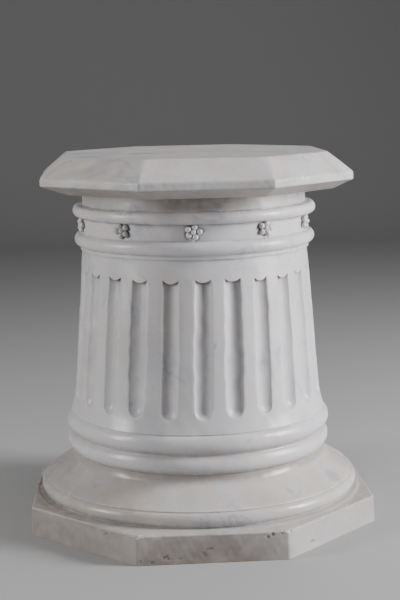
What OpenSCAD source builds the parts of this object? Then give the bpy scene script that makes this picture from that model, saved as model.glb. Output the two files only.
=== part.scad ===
// Squat fluted marble column base: octagonal plinth, round base moulding, fluted
// shaft with carved rosettes, and an octagonal top slab. Four blocks, bedded one on
// another. Origin at the centre of the underside, +Z up, millimetres.

/* [Plinth] */
// Width of the octagonal plinth across its flat sides, at the ground
plinth_across = 602; // [596:1:640]
// Height of the octagonal block
plinth_h = 49; // [30:1:80]
// How far each side leans in by the top of the block
plinth_batter = 1.5; // [0:0.5:5]
// Radius of the low round seat turned on top of the block
seat_r = 289; // [284:0.5:290]
// Height of the round seat
seat_h = 2; // [1:0.5:6]

/* [Base moulding] */
// Outermost radius of the bullnosed bottom roll
roll_out = 284.6; // [280:0.1:286]
// Height of the bottom roll
roll_h = 26; // [18:0.5:30]
// Radius of the sharp edge where the slope starts above the roll
slope_foot_r = 276.5; // [274:0.5:280]
// Radius at the top of the slope, under the shaft
slope_head_r = 224; // [222:0.5:230]
// Height of the slope
slope_h = 47; // [40:0.1:70]

/* [Shaft] */
// Outermost radius of the upper of the two foot beads
foot_bead_out = 235.3; // [233:0.1:238]
// How much less the lower foot bead projects
foot_bead_step = 1.3; // [0:0.1:3]
// Height of each foot bead
foot_bead_h = 34.2; // [28:0.1:38]
// Radius of the round that shapes the foot beads
foot_bead_round = 19.3; // [19.1:0.1:24]
// Radius where the flare meets the upper foot bead
flare_foot_r = 227.8; // [226:0.1:230]
// Height of the flare
flare_h = 46.6; // [30:0.1:60]
// Radius of the shaft where the flare starts
shaft_low_r = 218.4; // [216:0.1:220]
// Radius of the shaft at its top
shaft_top_r = 199.4; // [198:0.1:201]
// Height of the straight tapering stretch
taper_h = 242.5; // [180:0.5:400]
// Radius of the thin band above the taper
band_r = 202; // [201:0.1:204]
// Height of the thin band
band_h = 7; // [5:0.1:12]

/* [Flutes] */
// Number of flutes round the shaft
flute_count = 24; // [16:1:24]
// Radius of the round that cuts each flute
flute_cut_r = 14.9; // [12:0.1:15]
// How far the cutting round stands outside the shaft's face
flute_cut_out = 5; // [3:0.5:7]
// Height of the rounded lower end of the flutes above the upper foot bead
flute_foot_gap = 24.1; // [18:0.1:40]
// Distance from the thin band down to the corners of the flutes' upper ends
flute_head_gap = 33; // [20:0.5:50]
// How far the lip at the upper end hangs down in the middle of a flute
lip_sag = 5.6; // [3:0.1:7]
// Turn of the first flute from the middle of the front side, in degrees
flute_turn = -1.4; // [-7:0.1:7]

/* [Necking] */
// Outermost radius of the bead below the rosettes
lower_bead_out = 212.2; // [210:0.1:216]
// Height of the bead below the rosettes
lower_bead_h = 23.4; // [20:0.1:28]
// Outermost radius of the bead above the rosettes
upper_bead_out = 214.6; // [211:0.1:218]
// Height of the bead above the rosettes
upper_bead_h = 20.8; // [18:0.1:26]
// Radius of the plain frieze that carries the rosettes
frieze_r = 201; // [199:0.5:203]
// Height of the frieze
frieze_h = 28.1; // [24:0.1:34]
// Radius of the recessed neck under the top slab
neck_r = 196.9; // [194:0.1:200]
// Height of the recessed neck
neck_h = 24; // [14:0.1:40]

/* [Rosettes] */
// Number of rosettes round the frieze
rosette_count = 10; // [6:1:12]
// Turn of the first rosette from the middle of the front side, in degrees
rosette_turn = -4.4; // [-18:0.1:18]
// Number of round petals in a rosette
petal_count = 5; // [4:1:6]
// How far the rosettes' middles stand above the frieze's middle
rosette_rise = 2; // [0:0.5:3]
// Turn of the first petal from level, in degrees
petal_turn = 4; // [-36:1:36]
// Radius of a petal
petal_r = 4.7; // [4:0.1:5.2]
// Distance from a rosette's middle to the middle of a petal
petal_ring_r = 9; // [7:0.1:9.5]
// Radius of the round boss in the middle
boss_r = 4.2; // [3:0.1:4.5]

/* [Top slab] */
// Width of the slab across its flat sides
slab_across = 533; // [510:1:560]
// Height of the slab
slab_h = 64.2; // [55:0.1:80]
// Height of the upright band round the slab
slab_band_h = 12.7; // [6:0.1:20]
// Height of the sloping under-edge
under_bevel_h = 16.5; // [10:0.1:24]
// How far the top face lies in from the upright band
top_bevel_in = 40; // [30:0.5:50]
// How far the underside lies in from the upright band
under_bevel_in = 38.8; // [30:0.5:44]

/* [Hidden] */
$fn = 96;

SIDES = 8;
// how far cutting shapes reach past the stone
SPARE = 20;

// levels, each block from the top of the one below
moulding_z = plinth_h + seat_h;
slope_z = moulding_z + roll_h + 1;
shaft_z = slope_z + slope_h;
flare_z = shaft_z + 2 * foot_bead_h;
taper_z = flare_z + flare_h;
band_z = taper_z + taper_h;
lower_bead_z = band_z + band_h;
frieze_z = lower_bead_z + lower_bead_h;
upper_bead_z = frieze_z + frieze_h;
neck_z = upper_bead_z + upper_bead_h;
slab_z = neck_z + neck_h;
total_h = slab_z + slab_h;

flute_foot_z = flare_z + flute_foot_gap;
flute_head_z = band_z - flute_head_gap;
taper_angle = atan((shaft_low_r - shaft_top_r) / taper_h);
// half the width of a flute at the shaft's face
flute_half_w = sqrt(pow(flute_cut_r, 2) - pow(flute_cut_out, 2));
// round of the hanging lip, through the flute's two corners and the lip's low point
lip_r = (pow(flute_half_w, 2) + pow(lip_sag, 2)) / (2 * lip_sag);

function shaft_r(z) = shaft_low_r - (z - taper_z) * tan(taper_angle);

// a point on a cubic curve between two ends, drawn by two handles
function curve(t, a, b, c, d) =
    pow(1 - t, 3) * a + 3 * pow(1 - t, 2) * t * b + 3 * (1 - t) * t * t * c + pow(t, 3) * d;

// the slope falls steeply from under the shaft and eases out to its foot
slope_steps = 10;
slope_points = [
    for (i = [0 : slope_steps])
        curve(i / slope_steps,
            [slope_foot_r, slope_z],
            [slope_foot_r - 18.5, slope_z + 15],
            [slope_head_r + 5, slope_z + 25],
            [slope_head_r, shaft_z])
];

// concave arc from the taper out to the upper foot bead, tangent to the taper
flare_mean = atan((flare_foot_r - shaft_low_r) / flare_h);
flare_end = 2 * flare_mean - taper_angle;
flare_round = flare_h / (sin(flare_end) - sin(taper_angle));
flare_steps = 8;
flare_points = [
    for (i = [0 : flare_steps])
        let (a = flare_end + (taper_angle - flare_end) * i / flare_steps)
        [
            shaft_low_r + flare_round * (cos(taper_angle) - cos(a)),
            taper_z - flare_round * (sin(a) - sin(taper_angle))
        ]
];

// eight-sided prism of a given width across the flats, a flat side facing -Y
module octagon_block(across, h) {
    rotate([0, 0, 180 / SIDES])
        cylinder(r = across / 2 / cos(180 / SIDES), h = h, $fn = SIDES);
}

// planes that slope inwards round an octagon, one big block a side: each passes
// through apothem at height z and leans in by lean over rise (upwards if rise > 0)
module side_planes(apothem, z, lean, rise) {
    tilt = atan(lean / abs(rise));
    reach = apothem + abs(rise) + lean + SPARE;
    for (i = [0 : SIDES - 1])
        rotate([0, 0, i * 360 / SIDES])
            translate([0, -apothem, z])
                rotate([rise > 0 ? -tilt : tilt, 0, 0])
                    translate([-reach, -2 * reach, -2 * reach])
                        cube([2 * reach, 2 * reach, 4 * reach]);
}

module plinth() {
    color("gainsboro") union() {
        difference() {
            octagon_block(plinth_across, plinth_h);
            side_planes(plinth_across / 2, 0, plinth_batter, plinth_h);
        }
        translate([0, 0, plinth_h / 2])
            cylinder(r = seat_r, h = plinth_h / 2 + seat_h);
    }
}

module base_moulding() {
    roll_round = roll_h / 2;
    roll_centre_r = roll_out - roll_round;
    color("linen") rotate_extrude() union() {
        translate([roll_centre_r, moulding_z + roll_round])
            intersection() {
                circle(r = roll_round);
                translate([0, -roll_round])
                    square([roll_h, roll_h]);
            }
        polygon(concat(
            [[0, shaft_z], [0, moulding_z], [roll_centre_r, moulding_z],
                [roll_centre_r, slope_z - roll_round], [slope_foot_r, slope_z - roll_round]],
            slope_points));
    }
}

// outline of the shaft from the axis outwards, without its beads
module shaft_core_outline() {
    foot_r = foot_bead_out - foot_bead_round;
    polygon(concat(
        [[0, slab_z], [0, shaft_z], [foot_r, shaft_z], [foot_r, flare_z]],
        flare_points,
        [
            [shaft_top_r, band_z], [band_r, band_z],
            [band_r, lower_bead_z], [frieze_r, lower_bead_z],
            [frieze_r, upper_bead_z], [neck_r, upper_bead_z],
            [neck_r, slab_z]
        ]));
}

// flattened foot bead: the part of a round between two levels
module foot_bead_outline(out, z) {
    translate([out - foot_bead_round, z + foot_bead_h / 2])
        intersection() {
            circle(r = foot_bead_round);
            translate([0, -foot_bead_h / 2])
                square([foot_bead_round + SPARE, foot_bead_h]);
        }
}

module round_bead_outline(out, z, h) {
    translate([out - h / 2, z + h / 2])
        circle(r = h / 2);
}

// one flute along the taper at the front: a round channel with a rounded lower
// end, cut off above under a lip that hangs down in the middle
module flute_cutter() {
    foot_z = flute_foot_z + flute_half_w;
    reach = flute_head_z + flute_half_w - foot_z;
    difference() {
        translate([0, -shaft_r(foot_z) - flute_cut_out, foot_z])
            rotate([-taper_angle, 0, 0]) {
                sphere(r = flute_cut_r);
                cylinder(r = flute_cut_r, h = reach);
            }
        translate([0, -shaft_r(flute_head_z) - flute_cut_out - flute_cut_r - SPARE,
                flute_head_z - lip_sag + lip_r])
            rotate([-90, 0, 0])
                cylinder(r = lip_r, h = 2 * (flute_cut_r + SPARE));
        translate([-flute_cut_r - SPARE, -shaft_r(flute_head_z) - 2 * SPARE, flute_head_z])
            cube([2 * (flute_cut_r + SPARE), 4 * SPARE, 2 * SPARE]);
    }
}

// round petals about a boss, carved on the frieze at the front
module rosette() {
    translate([0, -frieze_r, frieze_z + frieze_h / 2 + rosette_rise])
        rotate([90, 0, 0]) {
            sphere(r = boss_r);
            for (i = [0 : petal_count - 1])
                rotate([0, 0, petal_turn + i * 360 / petal_count])
                    translate([petal_ring_r, 0, 0])
                        sphere(r = petal_r);
        }
}

module shaft() {
    color("whitesmoke") union() {
        difference() {
            rotate_extrude() union() {
                shaft_core_outline();
                foot_bead_outline(foot_bead_out - foot_bead_step, shaft_z);
                foot_bead_outline(foot_bead_out, shaft_z + foot_bead_h);
                round_bead_outline(lower_bead_out, lower_bead_z, lower_bead_h);
                round_bead_outline(upper_bead_out, upper_bead_z, upper_bead_h);
            }
            for (i = [0 : flute_count - 1])
                rotate([0, 0, flute_turn + i * 360 / flute_count])
                    flute_cutter();
        }
        for (i = [0 : rosette_count - 1])
            rotate([0, 0, rosette_turn + i * 360 / rosette_count])
                rosette();
    }
}

module top_slab() {
    band_z0 = slab_z + under_bevel_h;
    band_z1 = band_z0 + slab_band_h;
    color("snow") difference() {
        translate([0, 0, slab_z])
            octagon_block(slab_across, slab_h);
        side_planes(slab_across / 2, band_z1, top_bevel_in, total_h - band_z1);
        side_planes(slab_across / 2, band_z0, under_bevel_in, -under_bevel_h);
    }
}

plinth();
base_moulding();
shaft();
top_slab();
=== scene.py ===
import math

import bpy
import numpy as np
from mathutils import Matrix, Vector


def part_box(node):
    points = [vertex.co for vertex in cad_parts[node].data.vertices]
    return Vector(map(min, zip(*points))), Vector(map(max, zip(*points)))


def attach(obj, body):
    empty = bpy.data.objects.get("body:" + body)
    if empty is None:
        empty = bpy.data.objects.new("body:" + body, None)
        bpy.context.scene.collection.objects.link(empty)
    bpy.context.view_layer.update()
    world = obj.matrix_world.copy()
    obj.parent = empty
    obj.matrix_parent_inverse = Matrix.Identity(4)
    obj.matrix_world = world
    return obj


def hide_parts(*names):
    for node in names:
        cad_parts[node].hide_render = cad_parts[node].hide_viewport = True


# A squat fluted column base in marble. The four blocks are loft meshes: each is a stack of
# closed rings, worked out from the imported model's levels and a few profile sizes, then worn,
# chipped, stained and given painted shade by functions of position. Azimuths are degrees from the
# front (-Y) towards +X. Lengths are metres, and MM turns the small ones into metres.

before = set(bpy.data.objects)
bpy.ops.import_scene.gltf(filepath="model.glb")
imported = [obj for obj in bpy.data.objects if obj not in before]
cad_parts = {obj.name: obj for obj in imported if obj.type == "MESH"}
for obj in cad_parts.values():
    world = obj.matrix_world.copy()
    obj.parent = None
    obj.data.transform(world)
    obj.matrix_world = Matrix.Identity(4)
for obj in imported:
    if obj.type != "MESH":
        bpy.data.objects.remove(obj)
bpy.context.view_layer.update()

MM = 0.001
SIDES = 8
SIDE_TURN = 360 / SIDES
HALF_TURN = SIDE_TURN / 2
# caps and hidden joints reach in to this radius
CORE_R = 0.18
# how far the columns of an octagon gather towards its corners
CORNER_GATHER = 0.06


# ---------------------------------------------------------------- levels from the frame

def low(node):
    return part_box(node)[0][2]


def high(node):
    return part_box(node)[1][2]


PLINTH_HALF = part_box("plinth")[1][1]
SLAB_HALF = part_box("top_slab")[1][1]
SEAT_Z = low("base_moulding")
SHAFT_Z = low("shaft")
SLAB_Z = low("top_slab")
TOP_Z = high("top_slab")
ROLL_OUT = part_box("base_moulding")[1][0]
FOOT_BEAD_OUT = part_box("shaft")[1][0]

# plinth
SEAT_H = 2 * MM
SEAT_R = 289 * MM
PLINTH_BATTER = 1.5 * MM
PLINTH_TOP_LEAN = 0.0075
# how much the back left corner of the plinth falls short of a regular octagon
CORNER_SHORT = 11 * MM
# base moulding
ROLL_ROUND = 13 * MM
SLOPE_FOOT_R = 276.5 * MM
SLOPE_HEAD_R = 224 * MM
SLOPE_Z = SEAT_Z + 27 * MM
COVE_R = 234 * MM
COVE_Z = SLOPE_Z + 29 * MM
# shaft
FOOT_BEAD_H = 34.2 * MM
FOOT_BEAD_ROUND = 19.3 * MM
FOOT_BEAD_STEP = 1.3 * MM
FLARE_Z = SHAFT_Z + 2 * FOOT_BEAD_H
FLARE_H = 46.6 * MM
FLARE_FOOT_R = 227.8 * MM
TAPER_Z = FLARE_Z + FLARE_H
SHAFT_LOW_R = 218.4 * MM
SHAFT_TOP_R = 199.4 * MM
BAND_Z = TAPER_Z + 242.5 * MM
BAND_R = 202 * MM
LOWER_BEAD_Z = BAND_Z + 7 * MM
LOWER_BEAD_H = 23.4 * MM
LOWER_BEAD_OUT = 212.2 * MM
FRIEZE_Z = LOWER_BEAD_Z + LOWER_BEAD_H
FRIEZE_H = 28.1 * MM
FRIEZE_R = 201 * MM
UPPER_BEAD_Z = FRIEZE_Z + FRIEZE_H
UPPER_BEAD_H = 20.8 * MM
UPPER_BEAD_OUT = 214.6 * MM
NECK_R = 196.9 * MM
TAPER = (SHAFT_LOW_R - SHAFT_TOP_R) / (BAND_Z - TAPER_Z)
# the shaft stands a little to the right of the blocks above and below it
SHAFT_SHIFT = 0.4 * MM
# flutes
FLUTES = 24
FLUTE_HALF = 3.9
FLUTE_BELLY = 0.45
FLUTE_WANDER = 0.28
FLUTE_TURN = -1.3
FLUTE_LEAN = -1.0
FLUTE_DEPTH = 7.8 * MM
# share of that depth at the front flute, chosen to soften its shading
FRONT_FLUTE_SHARE = 0.84
FLUTE_FOOT_Z = FLARE_Z + 24.1 * MM
FLUTE_HEAD_Z = BAND_Z - 33 * MM
LIP_SAG = 5.6 * MM
# listed unevenness of the front flutes: number from the front, then degrees round the shaft
FLUTE_SHIFTS = {-4: 0.0, -3: 0.3, -2: 0.1, -1: 0.7, 0: 0.8, 1: 0.0, 2: -0.4, 3: -0.7, 4: -1.5}
# rosettes
ROSETTES = 10
ROSETTE_TURN = -4.4
ROSETTE_SHIFTS = {2: -1.2, 8: -2.5}
ROSETTE_Z = FRIEZE_Z + FRIEZE_H / 2 + 2 * MM
PETALS = 5
PETAL_TURN = 4
PETAL_R = 5 * MM
PETAL_SPREAD = 10.2 * MM
PETAL_RISE = 8.5 * MM
PETAL_OUT = 2.4 * MM
BOSS_R = 4.5 * MM
BOSS_OUT = 3.6 * MM
# top slab
UNDER_BEVEL_H = 16.5 * MM
UNDER_BEVEL_IN = 38.8 * MM
UNDER_SHIFT = 5 * MM
SLAB_BAND_H = 12.7 * MM
TOP_BEVEL_IN = 40 * MM


# ---------------------------------------------------------------- small tools on arrays

def smooth(lo, hi, x):
    """0 below lo, 1 above hi, and an eased rise between."""
    t = np.clip((x - lo) / (hi - lo), 0, 1)
    return t * t * (3 - 2 * t)


def ripple(points, size, seed, waves=20):
    """Seeded smooth noise of about -1 to 1 at an array of points, with features of a given size."""
    rng = np.random.default_rng(seed)
    turn = rng.normal(size=(waves, 3))
    turn /= np.linalg.norm(turn, axis=1)[:, None]
    turn *= (2 * math.pi / size * rng.uniform(0.5, 1.5, waves))[:, None]
    phase = rng.uniform(0, 2 * math.pi, waves)
    return np.sin(points @ turn.T + phase).sum(axis=-1) * math.sqrt(1 / waves)


def radius_of(points):
    return np.hypot(points[..., 0], points[..., 1])


def azimuth_of(points):
    return np.degrees(np.arctan2(points[..., 0], -points[..., 1]))


def mottle(points, size, seed, middle=0.0, swing=1.0):
    """Seeded soft patches, from 0 to 1."""
    return np.clip(middle + swing * ripple(points, size, seed), 0, 1)


def around(x, middle, width, power=2):
    """1 where x is at the middle, falling to 0 over about the width on both sides."""
    return np.exp(-((x - middle) / width) ** power)


def west_side(points):
    """1 on the left side of the base, fading to 0 a little right of its front and its back."""
    radius = np.maximum(radius_of(points), 1e-6)
    return smooth(0.35, -0.95, points[..., 0] / radius)


def soft_max(a, b, reach):
    """The larger of two outlines, with a fillet where they cross."""
    h = np.clip(reach - np.abs(a - b), 0, None) / reach
    return np.maximum(a, b) + h * h * reach / 4


def heading(azimuth):
    """Outward unit vectors at azimuths in degrees."""
    a = np.radians(azimuth)
    return np.stack([np.sin(a), -np.cos(a), np.zeros_like(a)], axis=-1)


def along(azimuth):
    """Unit vectors to the right, as seen from outside, at azimuths in degrees."""
    a = np.radians(azimuth)
    return np.stack([np.cos(a), np.sin(a), np.zeros_like(a)], axis=-1)


def arc(centre, radius, start, end, count):
    """Points (r, z) on a round of a profile, between two angles up from the outward direction."""
    a = np.radians(np.linspace(start, end, count))
    return np.stack([centre[0] + radius * np.cos(a), centre[1] + radius * np.sin(a)], axis=-1)


def line(start, end, count):
    """Evenly spaced points (r, z) from start to end, both included."""
    t = np.linspace(0, 1, count)[:, None]
    return np.array(start) * (1 - t) + np.array(end) * t


def bezier(points, count):
    t = np.linspace(0, 1, count)[:, None]
    a, b, c, d = (np.array(p) for p in points)
    return (1 - t) ** 3 * a + 3 * (1 - t) ** 2 * t * b + 3 * (1 - t) * t * t * c + t ** 3 * d


# ---------------------------------------------------------------- shells and pieces

class Shell:
    """A closed loft: rows x columns of points, with a flat cap at each end."""

    def __init__(self, points):
        self.points = points
        self.grime_and_shade = np.zeros(points.shape[:2])
        self.vein_and_shade = np.zeros(points.shape[:2])

    def geometry(self):
        """The shell's vertices, its faces, and its grime and vein amounts (painted shade among them), capped
        at both ends.
        """
        rows, cols = self.points.shape[:2]
        index = np.arange(rows * cols).reshape(rows, cols)
        here, after = index[:-1], index[1:]
        quads = np.stack([here, np.roll(here, -1, 1), np.roll(after, -1, 1), after], axis=-1)
        faces = quads.reshape(-1, 4).tolist()
        first, last = rows * cols, rows * cols + 1
        faces += [(first, b, a) for a, b in zip(index[0], np.roll(index[0], -1))]
        faces += [(last, a, b) for a, b in zip(index[-1], np.roll(index[-1], -1))]
        ends = np.stack([self.points[0].mean(axis=0), self.points[-1].mean(axis=0)])
        verts = np.concatenate([self.points.reshape(-1, 3), ends])
        grime_and_shade = np.append(self.grime_and_shade.ravel(), [0, 0])
        vein_and_shade = np.append(self.vein_and_shade.ravel(), [0, 0])
        return verts, faces, grime_and_shade, vein_and_shade


def lathe(profile, azimuths):
    """A shell turned about the upright axis: profile is (r, z) from the lower end to the upper."""
    r, z = profile[:, 0, None], profile[:, 1, None]
    out = heading(azimuths)[None]
    points = out * r[..., None]
    points[..., 2] = z
    return Shell(points)


def make_piece(name, shells, material, node, sharp=38):
    """One mesh object from shells, riding in place of a CAD node."""
    verts, faces, grime_and_shade, vein_and_shade = [], [], [], []
    start = 0
    for shell in shells:
        v, f, g, n = shell.geometry()
        verts.append(v)
        faces += [[i + start for i in face] for face in f]
        grime_and_shade.append(g)
        vein_and_shade.append(n)
        start += len(v)
    mesh = bpy.data.meshes.new(name)
    mesh.from_pydata(np.concatenate(verts).tolist(), [], faces)
    for key, amounts in (("grime_and_shade", grime_and_shade), ("vein_and_shade", vein_and_shade)):
        layer = mesh.attributes.new(key, "FLOAT", "POINT")
        layer.data.foreach_set("value", np.clip(np.concatenate(amounts), 0, 1).astype(np.float32))
    mesh.polygons.foreach_set("use_smooth", [True] * len(mesh.polygons))
    mesh.set_sharp_from_angle(angle=math.radians(sharp))
    mesh.validate()
    mesh.materials.append(material)
    piece = bpy.data.objects.new(name, mesh)
    bpy.context.collection.objects.link(piece)
    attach(piece, "root")
    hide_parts(node)
    return piece


# ---------------------------------------------------------------- octagonal blocks

def octagon_columns(side_steps, corner_steps):
    """Where each column of an octagonal loft stands: its side, and its place from 0 to 1 along
    that side's straight stretch, or beyond 1 on the corner that follows."""
    straight = np.linspace(0, 1, side_steps + 1)
    # columns gather towards the corners, where chips are
    straight = straight - CORNER_GATHER * np.sin(2 * math.pi * straight)
    corner = 1 + np.arange(1, corner_steps) / corner_steps
    place = np.concatenate([straight, corner])
    side = np.repeat(np.arange(SIDES), len(place))
    return side, np.tile(place, SIDES)


def octagon_ring(apothem, corner, z, columns, slide):
    """One ring of an octagon with corners rounded by the length corner, the vertices
    slid sideways by the lengths in slide, (along the left side, along the right side)."""
    side, place = columns
    vertex_az = (np.arange(SIDES) + 0.5) * SIDE_TURN
    reach = apothem / math.cos(math.radians(HALF_TURN))
    vertices = heading(vertex_az) * reach + along(vertex_az) * slide[:, None]
    start, end = vertices[side - 1], vertices[side]
    following = vertices[(side + 1) % SIDES]
    run = end - start
    run /= np.linalg.norm(run, axis=1)[:, None]
    next_run = following - end
    next_run /= np.linalg.norm(next_run, axis=1)[:, None]
    first, last = start + run * corner, end - run * corner
    t = np.clip(place, 0, 1)[:, None]
    points = first * (1 - t) + last * t
    s = np.clip(place - 1, 0, 1)[:, None]
    bend = (1 - s) ** 2 * last + 2 * (1 - s) * s * end + s ** 2 * (end + next_run * corner)
    points = np.where(place[:, None] > 1, bend, points)
    points[:, 2] = z
    return points


def rounded_edge(before, edge, after, reach, count):
    """Profile points that round an edge between two straight stretches, reach back on each."""
    before, edge, after = (np.array(p, float) for p in (before, edge, after))
    a = edge + (before - edge) / np.linalg.norm(before - edge) * reach
    b = edge + (after - edge) / np.linalg.norm(after - edge) * reach
    t = np.linspace(0, 1, count)[:, None]
    return (1 - t) ** 2 * a + 2 * (1 - t) * t * edge + t ** 2 * b


def cut_corner(points, azimuth, rise, towards, depth, seed, roughness=0.35):
    """Chips stone off: what lies beyond a plane is pressed back to it. The plane faces azimuth
    and rise, and stands depth inside the point towards. Returns how much each point moved."""
    out = heading(np.array(azimuth)) * math.cos(math.radians(rise))
    out = out + np.array([0, 0, math.sin(math.radians(rise))])
    beyond = (points - np.array(towards)) @ out + depth
    beyond += ripple(points, 9 * MM, seed) * depth * roughness
    beyond = np.clip(beyond, 0, None)
    points -= beyond[..., None] * out
    return beyond


def spots(points, places, breakup=0.0, seed=0):
    """A soft spot of amount 1 at each place (centre, radius); where spots overlap, the largest amount is
    kept.
    """
    amount = np.zeros(points.shape[:-1])
    for centre, radius in places:
        away = np.linalg.norm(points - np.array(centre), axis=-1) / radius
        amount = np.maximum(amount, 1 - smooth(0.45, 1.0, away))
    if breakup:
        amount *= np.clip(1 + breakup * ripple(points, 5 * MM, seed), 0, 1)
    return amount


def streak(points, path, width):
    """Amount 1 along a path of points, fading out at the given width."""
    amount = np.zeros(points.shape[:-1])
    for a, b in zip(path[:-1], path[1:]):
        a, b = np.array(a), np.array(b)
        t = np.clip((points - a) @ (b - a) / ((b - a) @ (b - a)), 0, 1)
        away = np.linalg.norm(points - a - t[..., None] * (b - a), axis=-1)
        amount = np.maximum(amount, 1 - smooth(0.3 * width, width, away))
    return amount


def on_side(side_azimuth, apothem, across, up):
    """A point on a side of an octagonal block: across to the right of its middle, up in z."""
    place = heading(np.array(side_azimuth)) * apothem + along(np.array(side_azimuth)) * across
    return [place[0], place[1], up]


def outward(points):
    """Unit vectors away from the upright axis."""
    flat = points.copy()
    flat[..., 2] = 0
    return flat / np.maximum(np.linalg.norm(flat, axis=-1, keepdims=True), 1e-6)


def push_out(points, amount):
    """Moves each point away from the upright axis by its amount, or towards it if negative."""
    points += outward(points) * amount[..., None]


def groove_dirt_and_shade(z, grooves):
    """Dirt and painted shade along level grooves, each of them (level, width in mm, amount)."""
    return np.maximum.reduce([around(z, level, width * MM) * amount
                              for level, width, amount in grooves])


# ---------------------------------------------------------------- the four blocks

def build_plinth(material):
    top = SEAT_Z - SEAT_H
    upper_half = PLINTH_HALF - PLINTH_BATTER
    columns = octagon_columns(side_steps=104, corner_steps=6)
    outline = np.concatenate([
        line((0.20, 0), (PLINTH_HALF - 3 * MM, 0), 4)[:-1],
        rounded_edge((0.2, 0), (PLINTH_HALF, 0), (upper_half, top), 0.8 * MM, 4),
        line((PLINTH_HALF - 0.2 * MM, 1.6 * MM), (upper_half, top - 5 * MM), 25),
        rounded_edge((PLINTH_HALF, 0), (upper_half, top), (0.2, top), 3.4 * MM, 7),
    ])
    still = np.zeros(SIDES)
    rings = [octagon_ring(a, 2.6 * MM, z, columns, still) for a, z in outline]
    # the flat top runs in from the octagon to the round seat
    edge = rings[-1]
    seat_foot = outward(edge) * (SEAT_R + 8.0 * MM)
    seat_foot[:, 2] = top + 0.2 * MM
    for t in np.linspace(0, 1, 14)[1:]:
        rings.append(edge * (1 - t) + seat_foot * t)
    seat = np.concatenate([
        line((SEAT_R + 6 * MM, SEAT_Z - 1.5 * MM), (SEAT_R - 2.5 * MM, SEAT_Z - 0.1 * MM), 6),
        line((SEAT_R - 6 * MM, SEAT_Z), (0.24, SEAT_Z), 4),
    ])
    for r, z in seat:
        ring = outward(edge) * r
        ring[:, 2] = z
        rings.append(ring)
    shell = Shell(np.stack(rings))
    points = shell.points
    z = points[..., 2].copy()
    radius = radius_of(points)
    azimuth = azimuth_of(points)
    half_side = math.tan(math.radians(HALF_TURN))
    before = 1 - np.tan(np.radians(np.clip(azimuth + 90, -HALF_TURN, HALF_TURN))) / half_side
    after = 1 + np.tan(np.radians(np.clip(azimuth + 135, -HALF_TURN, HALF_TURN))) / half_side
    short = np.minimum(before, after) / 2 * (azimuth < HALF_TURN - 90) * (azimuth > -HALF_TURN - 135)
    points[..., 0] += CORNER_SHORT * short * smooth(SEAT_R + 8 * MM, PLINTH_HALF, radius)
    off_seat = smooth(SEAT_R - 1 * MM, SEAT_R + 3 * MM, radius)

    # hand-cut faces: a gentle unevenness, more along the top edge, which falls to the right
    wear = smooth(1 * MM, 12 * MM, z) * off_seat
    push_out(points, (ripple(points, 70 * MM, 11) * 0.4 - 0.3) * MM * wear)
    push_out(points, ripple(points, 12 * MM, 12) * 0.12 * MM * wear)
    near_edge = smooth(top - 9 * MM, top, z) * smooth(SEAT_R + 1 * MM, SEAT_R + 7 * MM, radius)
    worn = mottle(points, 22 * MM, 13, -0.2) * near_edge
    push_out(points, -worn * 1.3 * MM)
    points[..., 2] -= worn * 0.8 * MM
    points[..., 2] -= PLINTH_TOP_LEAN * points[..., 0] * smooth(0.2 * top, top, z) * off_seat

    chipped = np.zeros_like(z)
    corner_reach = upper_half / math.cos(math.radians(HALF_TURN))
    # corners: azimuth, rise and depth of the chip, and a seed
    for turn, rise, depth, seed in ((-22.5, 48, 4.6 * MM, 21), (22.5, 50, 4.2 * MM, 22),
                                    (67.5, 35, 2.4 * MM, 23), (-67.5, 40, 1.4 * MM, 24),
                                    (112.5, 45, 3 * MM, 25), (157.5, 40, 4 * MM, 26),
                                    (-112.5, 55, 2.4 * MM, 27), (-157.5, 40, 3.2 * MM, 28)):
        corner = heading(np.array(turn)) * corner_reach
        corner[2] = top - PLINTH_TOP_LEAN * corner[0]
        chipped += cut_corner(points, turn, rise, corner, depth, seed)
    points[..., 2] = np.maximum(points[..., 2], 0)

    # small dark pits at listed places on four sides: across, up and radius in mm
    half = PLINTH_HALF - 2 * MM
    pit_places = {
        0: ((-80, 12, 3.2), (-73, 10, 2.8), (-76, 14, 2.4), (-54, 9, 2.4), (-100, 4.5, 2.8),
            (-119, 7, 2.4), (-68, 8, 1.8), (98, 44, 3.4), (90, 39.5, 2.8), (-4, 24, 2.2), (-9, 23, 1.8),
            (-14, 13, 2.2), (-16, 16, 2.0), (113, 45, 1.2)),
        45: ((-61, 14, 2.4), (-56, 12.5, 1.8), (-64, 12, 1.8)),
        180: ((40, 20, 2.6), (46, 16, 2.2), (-70, 33, 3)),
        -45: ((57, 41, 2.6), (53, 39, 2.0)),
    }
    pits = [(on_side(side, half, x * MM, up * MM), r * MM)
            for side, places in pit_places.items() for x, up, r in places]
    dark = spots(points, [(place, r * 1.25) for place, r in pits])
    push_out(points, -dark * 1.4 * MM)
    stains = [(on_side(side, half, x * MM, up * MM), r * MM) for side, x, up, r in (
        (0, -10, 18, 13), (0, 118, 10, 24), (0, -84, 8, 26), (0, 104, 44, 20), (-45, 56, 40, 12))]
    soiled = spots(points, stains, 0.5, 41) * 0.26

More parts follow.
